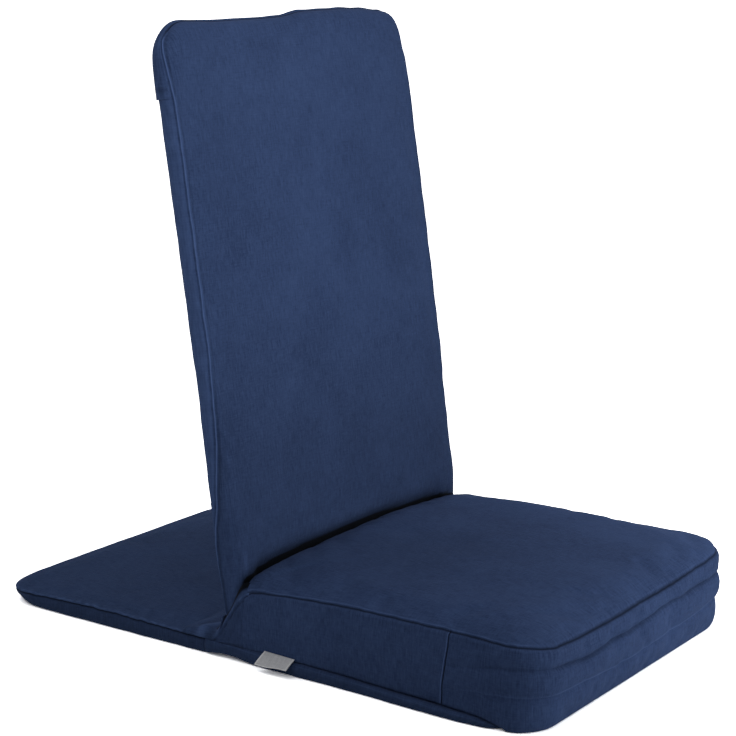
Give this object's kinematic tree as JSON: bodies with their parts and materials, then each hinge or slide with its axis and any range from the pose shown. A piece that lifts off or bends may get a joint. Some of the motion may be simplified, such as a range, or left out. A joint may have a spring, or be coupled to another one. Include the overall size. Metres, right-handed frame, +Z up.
{
  "type": "folding floor chair",
  "caption": "Legless folding floor chair: box seat cushion, leaning flat back and a thin rear floor panel, covered in navy canvas over hidden hinged steel tube frames.",
  "frame": {"origin": "middle of the seat's flat underside, on the floor", "axes": "+Z up, the sitter faces -Y, the rear floor panel runs out along +Y, +X across to the sitter's left"},
  "size_m": [0.3938, 0.6153, 0.5874],
  "materials": {
    "canvas": "navy cotton canvas, plain weave, matt",
    "canvas_shade": "navy cotton canvas, plain weave, matt, second layer",
    "foam": "open-cell foam",
    "steel": "rolled steel tube and plate",
    "zinc": "zinc-plated",
    "zip_tape": "woven tape and nylon coil",
    "tag": "woven satin tag, plain"
  },
  "bodies": {
    "seat": {"seat_cover": "canvas", "seat_foam_block": "foam", "seat_base_sleeve": "canvas_shade", "seat_base_foam": "foam", "zip_flap": "canvas", "zip_tape_upper": "zip_tape", "zip_tape_lower": "zip_tape", "zip_coil": "zip_tape", "side_tag": "tag", "joint_cloth_front": "canvas_shade", "joint_gusset_left": "canvas_shade", "joint_gusset_right": "canvas_shade"},
    "zip_slider": {"zip_slider": "zinc"},
    "back": {"back_cover": "canvas", "back_foam_pad": "foam", "back_hood": "canvas", "hood_hem": "canvas", "back_lower_sleeve": "canvas_shade", "back_frame_tube": "steel", "back_cross_tube": "steel", "hinge_back_arm_left": "steel", "hinge_back_arm_right": "steel", "hinge_lock_disc_left": "zinc", "hinge_lock_disc_right": "zinc", "hinge_pin_left": "zinc", "hinge_pin_right": "zinc", "back_rivet_left": "zinc", "back_rivet_right": "zinc"},
    "panel": {"panel_cover": "canvas_shade", "panel_foam_sheet": "foam", "panel_frame_tube": "steel", "panel_cross_tube": "steel", "hinge_panel_arm_left": "steel", "hinge_panel_arm_right": "steel", "panel_rivet_left": "zinc", "panel_rivet_right": "zinc", "joint_cloth_rear": "canvas_shade"}
  },
  "joints": [
    {"name": "back_fold", "type": "hinge", "parent": "seat", "child": "back", "pos_m": [0, 0.1605, 0.088], "axis": [1, 0, 0], "range_deg": [0, 100], "deforming": ["joint_cloth_front", "joint_gusset_left", "joint_gusset_right"]},
    {"name": "panel_fold", "type": "hinge", "parent": "back", "child": "panel", "pos_m": [0, 0.16839, 0.02955], "axis": [1, 0, 0], "range_deg": [0, 80], "deforming": ["joint_cloth_rear"]},
    {"name": "zip_slide", "type": "slide", "parent": "seat", "child": "zip_slider", "axis": [1, 0, 0], "range_m": [0, 0.27]}
  ]
}
